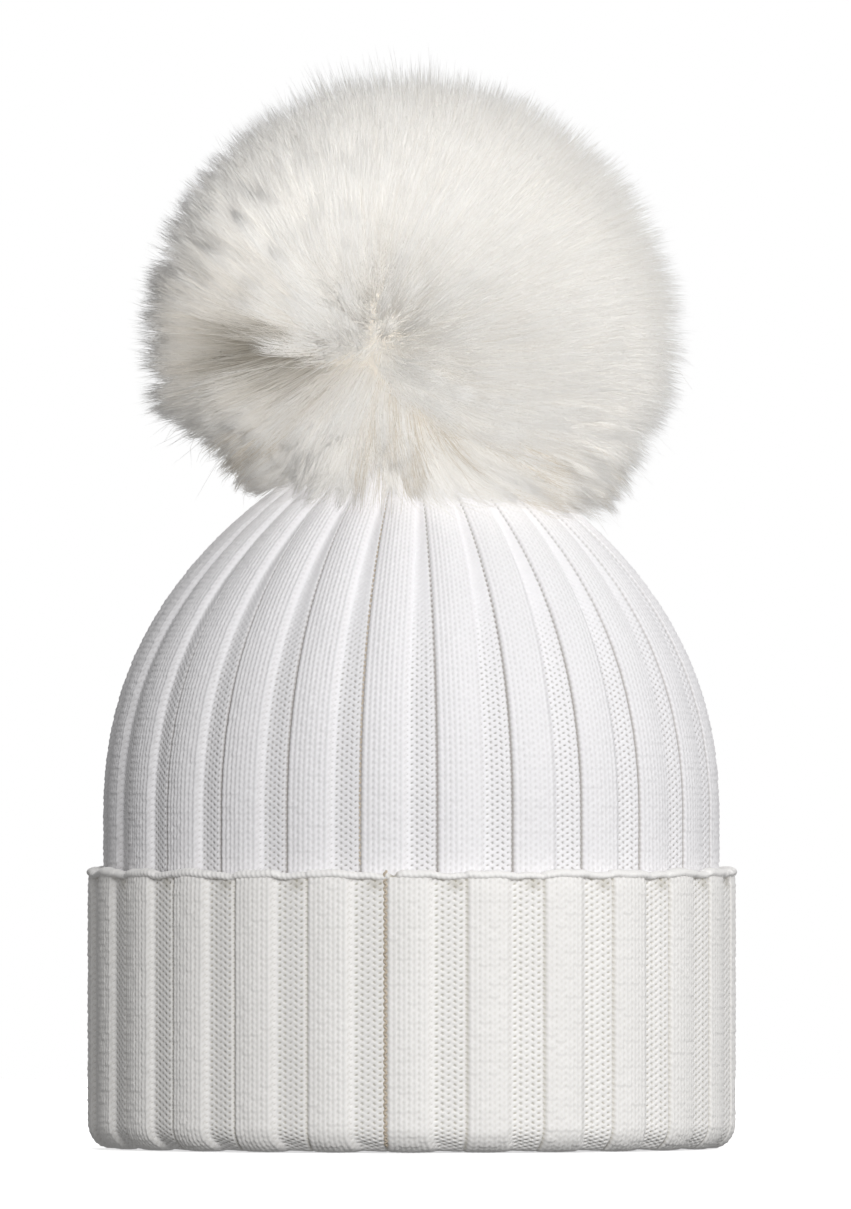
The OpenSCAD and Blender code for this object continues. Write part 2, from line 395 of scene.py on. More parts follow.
def leather_material():
    """The raw side of the pelt."""
    material, nodes, links, shader = new_material("pelt_leather")
    grain = noise(nodes, links, 700, 5.0)
    colour = colour_mix(nodes, links, grain, (0.50, 0.42, 0.32), (0.72, 0.65, 0.55))
    links.new(colour, shader.inputs["Base Color"])
    shader.inputs["Roughness"].default_value = 0.75
    bump(nodes, links, shader, grain, 0.7, 0.3 * MM)
    return material


def tape_material():
    """Blank woven tape: a fine plain weave in two directions."""
    material, nodes, links, shader = new_material("label_tape")
    place = nodes.new("ShaderNodeTexCoord").outputs["Object"]
    weave = []
    for direction in ("X", "Z"):
        wave = nodes.new("ShaderNodeTexWave")
        wave.bands_direction = direction
        wave.inputs["Scale"].default_value = 380
        wave.inputs["Distortion"].default_value = 0.4
        links.new(place, wave.inputs["Vector"])
        weave.append(wave.outputs["Fac"])
    product = nodes.new("ShaderNodeMath")
    product.operation = "MULTIPLY"
    links.new(weave[0], product.inputs[0])
    links.new(weave[1], product.inputs[1])
    links.new(colour_mix(nodes, links, product.outputs[0], (0.80, 0.79, 0.76), (0.92, 0.92, 0.90)),
              shader.inputs["Base Color"])
    shader.inputs["Roughness"].default_value = 0.6
    shader.inputs["Sheen Weight"].default_value = 0.2
    bump(nodes, links, shader, product.outputs[0], 0.6, 0.12 * MM)
    return material


# ---------------------------------------------------------------- knit


STITCH_JITTER = np.random.default_rng(3).uniform(-1, 1, (JITTER_COURSES, RIBS * JITTER_PER_RIB))


def knit_surface(phase, rib_index, course, radius):
    """Height in mm over the ribs' outline, and how far into a hole (0 to 1), of points on the knit.

    phase is the place in the rib repeat: the raised rib first, with its knit wales, then the trough,
    with its purl columns, and a tight crease where the next rib starts. The stitches fade out towards
    the middle of the crown, where the ribs crowd together, and the purl holes close. The pit value is
    painted shade: strong in the purl holes and along the crease's dotted line, faint between the wales.
    """
    trough = np.interp(radius, [20, 50, 90, 96, 99], [0.12, 0.30, 0.44, 0.44, 0.50])
    loose = np.interp(radius, [12, 90], [0.15, 1.0])
    rib = 1 - trough
    wale = phase / rib * KNIT_WALES
    across = np.abs(wale % 1 - 0.5)
    hump = np.sin(TAU * np.clip(across, 0.02, 0.48))
    leg = 0.5 + 0.5 * np.cos(TAU * (course - 1.5 * across))
    stitch = rib_index * JITTER_PER_RIB + np.floor(np.clip(wale, 0, JITTER_PER_RIB - 1)).astype(int)
    cell = STITCH_JITTER[np.floor(course).astype(int) % JITTER_COURSES, stitch % (RIBS * JITTER_PER_RIB)]
    knit = loose * (0.44 * (hump - 1) + 0.20 * (leg - 1) * (0.4 + 0.6 * hump) + 0.10 * cell)

    column = (phase - rib) / trough * PURL_COLUMNS - 0.15
    lattice = np.cos(TAU * column) * np.cos(TAU * (course + 0.12 * np.sin(TAU * column)))
    open_knit = smooth((radius - 70) / 20)
    hole = open_knit * smooth((-lattice - 0.5) / 0.45)
    purl = loose * (0.17 * (lattice - 1) - 0.42 * hole + 0.05 * cell)

    slope = smooth((phase - rib + 0.015) / 0.085)
    wall = 1 - smooth((phase - 0.978) / 0.02)
    down = slope * wall
    floor = 1 - 0.5 * smooth((phase - rib - 0.10) / np.maximum(trough - 0.13, 0.02))
    gap = np.exp(-(((phase - CREASE_PHASE) / 0.014) ** 2))
    dots = 0.58 + 0.42 * np.cos(TAU * course)
    crease = np.interp(radius, [15, 60, 95], [1.8, 1.8, 1.1])
    crowned = 0.6 * (np.sin(np.pi * np.clip(phase / rib, 0, 1)) - 1)
    bulge = (1 - loose) * 0.8 * np.sin(np.pi * np.clip(phase / rib, 0, 1))
    height = (-RIB_DEPTH * down * floor * np.interp(radius, [12, 60], [0.5, 1.0])
              + (1 - down) * (knit + bulge + crowned) + down * purl - crease * gap * dots)
    # Painted shade: faint between the knit wales, strong in the purl holes, and a dotted dark line along the
    # crease
    knit_shade = 0.30 * loose * (1 - hump) * (1 - leg) * (1 - down)
    crease_line = np.exp(-(((phase - CREASE_PHASE) / 0.019) ** 2))
    crease_shade_strength = np.interp(radius, [95, 98], [1.0, 0.4])
    pit = np.clip(0.9 * hole * down * loose + knit_shade + crease_shade_strength * crease_line * dots, 0, 1)
    return height, pit


def knit_rings(line, distance, seam, columns, fade=None):
    """Rings of displaced points for an outline of the knit's outer face, and their pit values."""
    index = np.arange(columns)
    turn = index * RIBS / columns
    rib_index = np.floor(turn).astype(int)[None, :]
    phase = (turn % 1)[None, :]
    angles = np.radians(seam + PITCH * turn)[None, :]
    height, pit = knit_surface(phase, rib_index, distance[:, None] / COURSE, line[:, :1])
    if fade is not None:
        height, pit = height * fade[:, None], pit * fade[:, None]
    return turned(line, outline_normals(line), angles, height), pit


def inner_rings(line, seam, columns):
    """Rings for the knit's inner face, where the backs of the ribs and their wales show."""
    turn = np.arange(columns) * RIBS / columns
    angles = np.radians(seam + PITCH * turn)[None, :]
    phase = (turn % 1)[None, :]
    at = np.concatenate([[0], np.cumsum(np.hypot(*np.diff(line, axis=0).T))])[:, None]
    size = np.interp(line[:, :1], [10, 80], [0.1, 1])
    wale = np.cos(TAU * phase * 7)
    wales = 0.20 * wale + 0.16 * wale * np.cos(TAU * at / COURSE)
    height = size * (wales + 0.75 * smooth(1 - np.abs(phase - 0.28) / 0.3) + 0.40)
    return turned(line, outline_normals(line), angles, height), np.zeros((1, 1))


def crown_outline(inset, apex_drop, top, count=80):
    """Points of the crown's outline from the wall to the flat top, a depth inside the outer face."""
    z = CROWN_START + (top - CROWN_START) * np.sin(np.linspace(0, np.pi / 2, count))
    t = (z - CROWN_START) / (CROWN_APEX - apex_drop - CROWN_START)
    return np.stack([(BODY_R - inset) * (1 - t**CROWN_RISE) ** CROWN_ROUND, z], -1)


def press_for_label(grid):
    """Sinks the inner face behind the care label, which has pressed its own place into the knit."""
    turn = (np.degrees(np.arctan2(grid[..., 0], -grid[..., 1])) - BODY_SEAM + 180) % 360 - 180
    edge = 1.2
    beside = smooth((turn + edge) / edge) * smooth((LABEL_TURN + edge - turn) / edge)
    z = grid[..., 2]
    over = smooth((z - LABEL_LOW + 2) / 2) * smooth((LABEL_LOW + LABEL_HEIGHT + 2 - z) / 2)
    radius = np.hypot(grid[..., 0], grid[..., 1])
    pressed = np.maximum(radius, LABEL_R + 0.55) - radius
    grid[..., :2] *= (1 + beside * over * pressed / np.maximum(radius, 1))[..., None]


def build_body(material):
    """The knit tube and its crown: few rows behind the cuff, fewer columns near the middle on top."""
    outer = np.concatenate([[[BODY_R, SHOWN_FROM]], crown_outline(0, 0, CROWN_TOP),
                            [[RIVET_HOLE_R, CROWN_TOP]]])
    line, distance = resample(outer, ROW_STEP)
    narrow = int(np.searchsorted(-line[:, 0], -48.0))
    hidden = np.stack([np.full(5, BODY_R), np.linspace(FOLD_TOP, 76.0, 5)], -1)
    button = smooth((line[:, 0] - 5.0) / 9.0)
    sections = [
        knit_rings(hidden, hidden[:, 1] - SHOWN_FROM, BODY_SEAM, COLUMNS),
        knit_rings(line[:narrow], distance[:narrow], BODY_SEAM, COLUMNS),
        knit_rings(line[narrow:], distance[narrow:], BODY_SEAM, COLUMNS // 2, button[narrow:]),
    ]
    inside = np.concatenate([[[HEAD_R, FOLD_TOP]], crown_outline(BODY_R - HEAD_R, INSIDE_DROP, CROWN_INSIDE),
                             [[RIVET_HOLE_R, CROWN_INSIDE]]])
    inner_line, _ = resample(inside, 1.0)
    grid, pit = inner_rings(inner_line, BODY_SEAM, COLUMNS // 2)
    press_for_label(grid)
    sections.append((grid[::-1], pit))
    body = closed_sheet("knit_body_ribbed", sections, material)
    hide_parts("knit_body")
    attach(body, "hat")


def fold_outline(start, count):
    """Points of the fold's round outside, from a start angle in radians to the cuff's wall."""
    bulge = CUFF_R - FOLD_MIDDLE_R
    return [[FOLD_MIDDLE_R + bulge * math.sin(a), FOLD_TOP * (1 - math.cos(a))]
            for a in np.linspace(start, np.pi / 2, count)]


def build_cuff(material):
    """The turned-up cuff, from the inside of the fold round to its top, and the length of that way."""
    lip = [[91.2 - 1.2 * math.cos(a), 1.4 - 1.4 * math.sin(a)] for a in np.linspace(0, np.pi / 2, 6)]
    outline = [[HEAD_R, FOLD_TOP - 1.0], *lip, *fold_outline(0, 30), [CUFF_R, CUFF_TOP]]
    line, distance = resample(outline, ROW_STEP)
    neck = smooth((line[:, 1] - 79.5) / 4.5)
    line[:, 0] -= 0.25 * neck
    fade = 0.25 + 0.75 * smooth((distance - 8.0) / 6.0)
    outer = knit_rings(line, distance, CUFF_SEAM, COLUMNS, fade)
    heights = (CUFF_TOP, 60.0, 40.0, 20.0, FOLD_TOP)
    back = np.array([*[[CUFF_INNER_R, z] for z in heights], [HEAD_R, FOLD_TOP]])
    angles = np.radians(CUFF_SEAM + PITCH * np.arange(COLUMNS // 2) * RIBS / (COLUMNS // 2))[None, :]
    inner = turned(back, np.zeros((len(back), 2)), angles, np.zeros((1, 1)))
    turn = np.arange(COLUMNS) * RIBS / COLUMNS % 1
    shade = np.exp(-(((turn - 0.84) / 0.10) ** 2)) * smooth((turn - 0.56) / 0.06)
    pit = np.clip(outer[1] + 0.42 * shade[None, :] * smooth((line[:, 1:] - 79.0) / 3.0), 0, 1)
    cuff = closed_sheet("cuff_turned_up", [(outer[0], pit), (inner, np.zeros((1, 1)))], material)
    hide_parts("cuff")
    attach(cuff, "hat")
    return cuff, float(distance[-1])


def build_rolled_edge(material):
    """The cast-on edge: a soft rolled lip along the cuff's top, that sags a little over each trough."""
    turn = np.arange(COLUMNS) * RIBS / COLUMNS
    phase = (turn % 1)[None, :]
    angle = CUFF_SEAM + PITCH * turn
    angles = np.radians(angle)[None, :]
    around = np.linspace(0, TAU, 28, endpoint=False)[:, None] - np.pi / 2
    rng = np.random.default_rng(11)
    wave = sum(rng.uniform(0.06, 0.16) * np.sin(k * angles + rng.uniform(0, TAU))
               for k in (9, 14, 23, 37, 61))
    over_trough = smooth((phase - 0.52) / 0.12) * (1 - smooth((phase - 0.95) / 0.05))
    notch = np.exp(-(((angle - (CUFF_SEAM + 0.9)) / 0.7) ** 2))[None, :]
    strands = 0.15 * np.cos(TAU * (phase * 15 + 0.4 * np.sin(around))) + 0.10 * wave
    stitches = 0.07 * np.cos(TAU * phase * 30 + 2 * around)
    swell = 0.30 * np.sin(np.pi * np.clip(phase / 0.52, 0, 1))
    half_w = 2.2 + swell - 0.25 * over_trough - 0.7 * notch
    half_h = 1.3 + 0.6 * swell - 0.15 * over_trough - 0.3 * notch
    r = EDGE_R - 0.35 * over_trough - 0.7 * notch + (half_w + strands + stitches) * np.cos(around)
    z = EDGE_HEIGHT + wave + 0.5 * swell - 0.45 * over_trough - 1.2 * notch
    z = z + (half_h + strands) * np.sin(around)
    grid = np.stack([r * np.sin(angles), -r * np.cos(angles), z], -1)
    # Painted shade under the lip over each trough, and in the notch at the seam
    under = smooth(-np.sin(around + 0.5) / 0.8)
    pit = np.clip(0.5 * under * over_trough + 0.8 * notch, 0, 1)
    edge = closed_sheet("cuff_rolled_edge_knit", [(grid, pit)], material)
    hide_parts("cuff_rolled_edge")
    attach(edge, "hat")
    return edge


# ---------------------------------------------------------------- yarn and thread


def yarn_tube(name, path, radius, material, sides=8, closed=False, twist=0.0):
    """A closed tube along a path of points. With a twist it has two plies that wind round each other."""
    path = np.asarray(path, float)
    n = len(path)
    if closed:
        tangent = unit(np.roll(path, -1, 0) - np.roll(path, 1, 0))
    else:
        tangent = unit(np.gradient(path, axis=0))
    out = unit(path * [1, 1, 0])
    side = unit(np.cross(tangent, out))
    out = np.cross(side, tangent)
    around = np.arange(sides) * TAU / sides
    turn = (np.arange(n) * twist)[:, None]
    size = radius * (1 + (0.22 * np.cos(2 * (around[None, :] + turn)) if twist else 0)) + 0 * turn
    ring = out[:, None] * np.cos(around)[None, :, None] + side[:, None] * np.sin(around)[None, :, None]
    points = (path[:, None] + ring * size[..., None]).reshape(-1, 3)
    quads = grid_quads(n, sides, 0)
    tris = np.zeros((0, 3), int)
    if closed:
        more, _ = bridge((n - 1) * sides, sides, 0, sides)
        quads = np.concatenate([quads, more])
    else:
        points = np.concatenate([points, path[:1], path[-1:]])
        i = np.arange(sides)
        right = (i + 1) % sides
        end = (n - 1) * sides
        first, last = n * sides, n * sides + 1
        tris = np.concatenate([np.stack([right, i, np.full(sides, first)], -1),
                               np.stack([end + i, end + right, np.full(sides, last)], -1)])
    return make_object(name, points, quads, tris, {"pit": np.zeros(len(points))}, material)


def on_wall(line, seam, offset_angle, lift, sway, pitch):
    """A path up an outline, swaying from side to side by sway degrees once in each pitch mm."""
    points, distance = resample(line, 0.35)
    normals = outline_normals(points)
    angle = np.radians(seam + offset_angle + sway * np.sin(TAU * distance / pitch) * BODY_R
                       / np.maximum(points[:, 0], 20))
    depth = lift + 0.25 * np.cos(2 * TAU * distance / pitch)
    r = points[:, 0] + normals[:, 0] * depth
    z = points[:, 1] + normals[:, 1] * depth
    return np.stack([r * np.sin(angle), -r * np.cos(angle), z], -1)


def build_seams(material):
    """The stitches that close the body's seam and the cuff's."""
    crown = crown_outline(0, 0, CROWN_TOP)
    body_line = np.concatenate([[[BODY_R, 88.0]], crown[crown[:, 0] > 15.6]])
    body_path = on_wall(body_line, BODY_SEAM, -0.55, -1.9, 0.22, 2.5)
    body = yarn_tube("back_seam_stitches", body_path, 0.34, material)
    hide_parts("back_seam_yarn")
    cuff_line = np.array([*fold_outline(0.5, 12), [CUFF_R, CUFF_TOP + 2.0]])
    cuff_path = on_wall(cuff_line, CUFF_SEAM, -0.5, -1.3, 0.25, 2.2)
    cuff = yarn_tube("cuff_seam_stitches", cuff_path, 0.4, material)
    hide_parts("cuff_seam_yarn")
    for seam in (body, cuff):
        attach(seam, "hat")


def build_gather(material):
    """The running yarn that draws the last row of the crown together."""
    angle = np.linspace(0, TAU, 600, endpoint=False)
    radius = 10.5 + 0.15 * np.sin(7 * angle)
    z = CROWN_TOP + 0.1 + 0.45 * np.sin(RIBS * angle)
    path = np.stack([radius * np.sin(angle), -radius * np.cos(angle), z], -1)
    gather = yarn_tube("crown_gather_running_yarn", path, 0.8, material,
                       sides=12, closed=True, twist=TAU * 60 / 600)
    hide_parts("crown_gather_yarn")
    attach(gather, "hat")


def build_threads(material):
    """The wound shank under the pompom and the thread round the pelt's mouth, which is 7 mm in radius."""
    turns = 5
    angle = np.linspace(0, TAU * turns, 60 * turns)
    z = np.linspace(225.95, 227.35, len(angle))
    path = np.stack([2.5 * np.cos(angle), 2.5 * np.sin(angle), z], -1)
    shank = yarn_tube("pompom_shank_winding", path, 0.3, material)
    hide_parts("pompom_shank_thread")
    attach(shank, "pompom_base")
    mouth = 7
    drop = math.sqrt(PELT_R**2 - mouth**2)
    angle = np.linspace(0, TAU, 360, endpoint=False)
    z = PELT_CENTRE[2] - drop + 0.35 * np.sin(18 * angle)
    path = np.stack([mouth * np.cos(angle), mouth * np.sin(angle), z], -1)
    gather = yarn_tube("pelt_gather_stitches", path, 0.6, material,
                       sides=10, closed=True, twist=TAU * 50 / 360)
    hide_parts("pelt_gather_thread")
    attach(gather, "pompom")


# ---------------------------------------------------------------- soft small parts


def ball(name, centre, radius, material, relief, columns=160, rows=90):
    """A closed ball whose radius is changed by relief(direction), in mm."""
    polar = np.linspace(0, np.pi, rows + 2)[1:-1][::-1]
    turn = np.arange(columns) * TAU / columns
    direction = np.stack([np.sin(polar)[:, None] * np.cos(turn), np.sin(polar)[:, None] * np.sin(turn),
                          np.cos(polar)[:, None] + 0 * turn], -1)
    grid = centre + direction * (radius + relief(direction))[..., None]
    low, high = np.array([0, 0, -1.0]), np.array([0, 0, 1.0])
    ends = [centre + end * (radius + float(relief(end[None])[0])) for end in (low, high)]
    points = np.concatenate([grid.reshape(-1, 3), np.array(ends)])
    i = np.arange(columns)
    right = (i + 1) % columns
    last = (rows - 1) * columns
    tris = np.concatenate([np.stack([right, i, np.full(columns, rows * columns)], -1),
                           np.stack([last + i, last + right, np.full(columns, rows * columns + 1)], -1)])
    return make_object(name, points, grid_quads(rows, columns, 0), tris, {"pit": np.zeros(len(points))},
                       material)


def build_pelt(leather, wadding):
    """The ball of pelt that carries the fur, and the wadding inside it."""

    def pleats(d):
        """Folds that run out from the gathered mouth and fade up the ball."""
        turn = np.arctan2(d[..., 1], d[..., 0])
        near = smooth((-d[..., 2] - 0.55) / 0.4)
        mouth = smooth((-d[..., 2] - 0.985) / 0.015)
        return near * 0.7 * (np.cos(18 * turn + 0.6 * np.sin(3 * turn)) - 1) - 1.0 * mouth

    def lumps(d):
        """Soft unevenness of the wadding."""
        return 0.5 * np.sin(10 * d[..., 0] + 1) * np.sin(6 * d[..., 1] + 2) * np.cos(7 * d[..., 2]) - 0.6

    pelt = ball("pompom_pelt_gathered", PELT_CENTRE, PELT_R, leather, pleats)
    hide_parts("pompom_pelt")
    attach(pelt, "pompom")
    fill = ball("pompom_stuffing_wadding", PELT_CENTRE, PELT_R - 2.6, wadding, lumps, 96, 48)
    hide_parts("pompom_stuffing")
    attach(fill, "pompom")


def build_label(material):
    """A blank woven tape, hemmed at both ends, that lies along the wall from the body's seam."""
    columns, rows = 76, 40
    half_thickness = 0.22
    s = np.linspace(0, 1, columns)[None, :]
    t = np.linspace(0, 1, rows)[:, None]
    angle = np.radians(BODY_SEAM + LABEL_TURN * s)
    ripple = 0.05 * np.sin(TAU * (1.5 * s + t)) * s
    hem = 0.10 * (np.exp(-(((s - 0.93) / 0.012) ** 2)) + np.exp(-(((s - 0.06) / 0.012) ** 2)))
    selvedge = 0.08 * np.exp(-(((np.minimum(t, 1 - t) - 0.05) / 0.012) ** 2))
    points = []
    for side in (1, -1):
        r = LABEL_R - 0.05 - ripple + side * (half_thickness - hem - selvedge)
        z = LABEL_LOW + LABEL_HEIGHT * t + 0 * s
        points.append(np.stack([r * np.sin(angle), -r * np.cos(angle), z], -1).reshape(-1, 3))
    n = rows * columns
    j, i = np.meshgrid(np.arange(rows - 1), np.arange(columns - 1), indexing="ij")
    a = (j * columns + i).ravel()
    back = np.stack([a, a + columns, a + columns + 1, a + 1], -1)
    front = np.stack([a, a + 1, a + columns + 1, a + columns], -1) + n
    loop = np.concatenate([np.arange(columns - 1), np.arange(rows - 1) * columns + columns - 1,
                           n - 1 - np.arange(columns - 1), (rows - 1 - np.arange(rows - 1)) * columns])
    following = np.roll(loop, -1)
    rim = np.stack([loop, following, following + n, loop + n], -1)
    faces = np.concatenate([back, front, rim])
    label = make_object("care_label_blank_tape", np.concatenate(points), faces, [],
                        {"pit": np.zeros(2 * n)}, material)
    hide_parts("care_label")
    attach(label, "care_label")


def finish_cad_parts(materials):
    """The hard parts keep their CAD shape and take a finished material."""
    for name, material in materials.items():
        node = NODES[name]
        for place in node.material_slots:
            place.link = "OBJECT"
            place.material = material


# ---------------------------------------------------------------- fur


def sphere_directions(rng, count):
    """Evenly spread directions with a little disorder."""
    k = np.arange(count) + 0.5
    z = 1 - 2 * k / count
    turn = np.pi * (1 + 5**0.5) * k
    flat = np.sqrt(1 - z * z)
    d = np.stack([flat * np.cos(turn), flat * np.sin(turn), z], -1)
    return unit(d + rng.normal(0, 1.6 / math.sqrt(count), d.shape))


def parting_line():
    """Directions along the parting: the whorl, then a short way down."""
    t = np.linspace(0, 1, 7)[:, None]
    return unit(WHORL * (1 - t) + PARTING_END * t)


def nearest(directions, targets):
    """Index of the target closest to each direction."""
    found = np.empty(len(directions), int)
    for start in range(0, len(directions), 4000):
        found[start:start + 4000] = np.argmax(directions[start:start + 4000] @ targets.T, axis=1)
    return found


def away_from(directions, source):
    """Unit tangents that lead away from a source direction, and the angle to it in degrees."""
    cosine = np.clip(np.sum(directions * source, -1), -1, 1)
    return unit(directions - cosine[:, None] * source), np.degrees(np.arccos(cosine))


def combed(directions):
    """Where hairs that grow from these directions end up pointing: away from whorl and parting."""
    line = parting_line()
    aside, apart = away_from(directions, line[nearest(directions, line)])
    outward, _ = away_from(directions, line[0])
    away = unit(0.5 * aside + 0.5 * outward)
    swept = 1 + 0.35 * smooth((0.3 - 0.8 * away[:, 0] - 0.6 * away[:, 2]) / 1.3)
    lean = (10 + 32 * smooth(apart / 28)) * (1 - 0.70 * smooth((apart - 45) / 80)) * swept
    lean = np.radians(lean)[:, None]
    pointed = unit(np.cos(lean) * directions + np.sin(lean) * away)
    # Hairs that would point down into the crown bend out over it
    low = -0.50 - 0.13 * (1 - np.exp(-np.maximum(-pointed[:, 2] - 0.50, 0) / 0.13))
    height = np.where(pointed[:, 2] < -0.50, low, pointed[:, 2])
    flat = unit(pointed[:, :2]) * np.sqrt(1 - height * height)[:, None]
    return np.concatenate([flat, height[:, None]], 1)


def lift_off_crown(points, gap):
    """Raises points so that they lie on the crown instead of inside it."""
    r = np.hypot(points[..., 0], points[..., 1])
    floor = np.where(r < BODY_R, crown_z(r) + gap, -1e3)
    points[..., 2] = np.maximum(points[..., 2], floor)
    return points


def tucked(direction):
    """Share by which the fur's outline is drawn in over the crown, most at the lower left."""
    low = smooth((-direction[:, 2] - 0.22) / 0.35)
    return low * (0.06 + 0.15 * smooth(0.4 - 1.2 * direction[:, 0]))


def strand_paths(rng, count, segments):
    """Curved centre lines of the hairs, root to tip, with a tone for each that also holds painted shade on
    some hem hairs.

    Hairs lean together in small clumps, and the clumps in larger locks. Both are strongest at the
    lower left. There are more hairs near the whorl, half of them short, so that no pelt shows.
    """
    root_dir = sphere_directions(rng, count)
    extra = count // 3
    near_whorl = unit(unit(WHORL) + rng.normal(0, 0.40, (extra, 3)))
    root_dir = np.concatenate([root_dir, near_whorl])
    root_dir = root_dir[root_dir[:, 2] > -math.sqrt(1 - (RECESS_R / PELT_R) ** 2)]
    n = len(root_dir)

    clump_dir = sphere_directions(rng, CLUMPS)
    clump = nearest(root_dir, clump_dir)
    clump_size = 1 - 0.08 * rng.random(CLUMPS) ** 1.5
    locked = smooth(0.45 - 0.75 * clump_dir[:, 0] - 0.75 * clump_dir[:, 2])
    clump_pull = rng.uniform(0.05, 0.40, CLUMPS) + 0.45 * locked
    clump_pull += (0.9 - clump_pull) * 0.6 * smooth((-clump_dir[:, 2] - 0.2) / 0.3)
    clump_sway = rng.normal(0, 1, (CLUMPS, 3)) * (0.02 + 0.04 * locked[:, None])
    tip_dir = unit(combed(root_dir) + rng.normal(0, 0.03, (n, 3)))
    clump_tip = unit(combed(clump_dir) + clump_sway)
    pull = (clump_pull[clump] * rng.uniform(0.7, 1.1, n))[:, None]
    tip_dir = unit(tip_dir * (1 - pull) + clump_tip[clump] * pull)

    lock_dir = sphere_directions(rng, LOCKS)
    lock = nearest(root_dir, lock_dir)
    lock_tip = unit(combed(lock_dir) + rng.normal(0, 0.05, (LOCKS, 3)))
    gathered = smooth(0.20 - 0.70 * lock_dir[:, 0] - 0.90 * lock_dir[:, 2])
    pull = (0.70 * gathered[lock] * rng.uniform(0.6, 1.1, n))[:, None]
    tip_dir = unit(tip_dir * (1 - pull) + lock_tip[lock] * pull)

    # How far each hair reaches, as a share of the fur's outline
    reach = clump_size[clump] * (1 - 0.14 * rng.random(n) ** 2)
    reach *= 1 - tucked(tip_dir)
    short = (np.arange(n) >= n - extra) & (rng.random(n) < 0.5)
    reach[short] *= rng.uniform(0.68, 0.88, short.sum())
    tip_dir[short] = unit(0.55 * tip_dir[short] + 0.45 * root_dir[short])
    wild = rng.random(n) < 0.05
    reach[wild] *= rng.uniform(0.98, 1.06, wild.sum())
    tip_dir[wild] = unit(tip_dir[wild] + rng.normal(0, 0.10, (wild.sum(), 3)))
    crest = smooth((tip_dir @ unit(CREST) - 0.90) / 0.08) * (rng.random(n) < 0.30)
    reach = np.minimum(reach, 1.02) * (1 + 0.09 * crest * rng.random(n))

    # Each hair is a curve from the pelt to its tip. The lowest hang over the crown in tufts
    root = PELT_CENTRE + root_dir * (PELT_R - 0.4)
    tip = FUR_CENTRE + tip_dir * FUR_SIZE * reach[:, None]
    hanging = smooth((clump_tip[clump] @ unit(HANGING_LOCK) - 0.965) / 0.03)
    fringe = smooth((-tip_dir[:, 2] - 0.38) / 0.14) * (rng.random(CLUMPS) ** 2)[clump]
    tip[:, 2] -= 2.0 * rng.random(n) + 13.0 * hanging * rng.random(n) + 8.0 * fringe
    rise = rng.uniform(0.70, 0.90, (n, 1))
    control = FUR_CENTRE + unit(0.6 * root_dir + 0.4 * tip_dir) * FUR_SIZE * rise
    t = np.linspace(0, 1, segments + 1)[None, :, None] ** 0.8
    paths = (1 - t) ** 2 * root[:, None] + 2 * t * (1 - t) * control[:, None] + t * t * tip[:, None]
    sway = rng.normal(0, 1, (n, 1, 3)) * 0.7 * np.sin(np.pi * t) ** 2
    paths = lift_off_crown(paths + sway, rng.uniform(0.8, 3.0, (n, 1)))

    # Painted shade: some fringe hairs between the hanging tips are darkened
    shaded_fringe = 0.55 * smooth(fringe * 3) * (rng.random(LOCKS)[lock] > 0.6) * (rng.random(n) < 0.6)
    tone_and_shade = np.clip(rng.normal(0.06, 0.10, n) + 0.10 * rng.random(CLUMPS)[clump] + shaded_fringe, 0, 0.9)
    return paths, tone_and_shade


def strand_mesh(name, paths, tone_and_shade, material):
    """One mesh of tapered three-sided hairs, each closed at its root and pointed at its tip.

    Its depth attribute, which paints shade on the hairs, is how far a point lies below the fur's outline,
    more towards the shaded locks.
    """
    sides = HAIR_SIDES
    n, rings = paths.shape[0], paths.shape[1] - 1
    tangent = unit(np.gradient(paths, axis=1))
    side = unit(np.cross(tangent, paths - FUR_CENTRE))
    up = np.cross(side, tangent)
    share = np.linspace(0, 1, rings + 1)
    width = HAIR_R * (1 - 0.72 * share[:-1] ** 1.5)
    around = np.arange(sides) * TAU / sides
    ring = side[:, :-1, None] * np.cos(around)[:, None] + up[:, :-1, None] * np.sin(around)[:, None]
    body = paths[:, :-1, None] + ring * width[None, :, None, None]
    points = np.concatenate([body.reshape(n, rings * sides, 3), paths[:, -1:]], 1)
    per = rings * sides + 1
    faces = []
    for k in range(rings - 1):
        for j in range(sides):
            a, b = k * sides + j, k * sides + (j + 1) % sides
            faces += [(a, b, b + sides), (a, b + sides, a + sides)]
    for j in range(sides):
        a, b = (rings - 1) * sides + j, (rings - 1) * sides + (j + 1) % sides
        faces.append((a, b, per - 1))
    faces.append((2, 1, 0))
    tris = (np.array(faces)[None] + (np.arange(n) * per)[:, None, None]).reshape(-1, 3)
    points = points.reshape(-1, 3)
    outward = (points - FUR_CENTRE) / FUR_SIZE
    # Painted shade: deeper points get darker, most towards the shaded locks
    depth = 1 - np.linalg.norm(outward, axis=1) - tucked(unit(outward))
    depth *= 0.26 + 0.85 * smooth((unit(outward) @ unit(SHADED_LOCKS) - 0.62) / 0.36)
    return make_object(name, points, [], tris, {"depth": depth, "tone_and_shade": np.repeat(tone_and_shade, per)}, material)


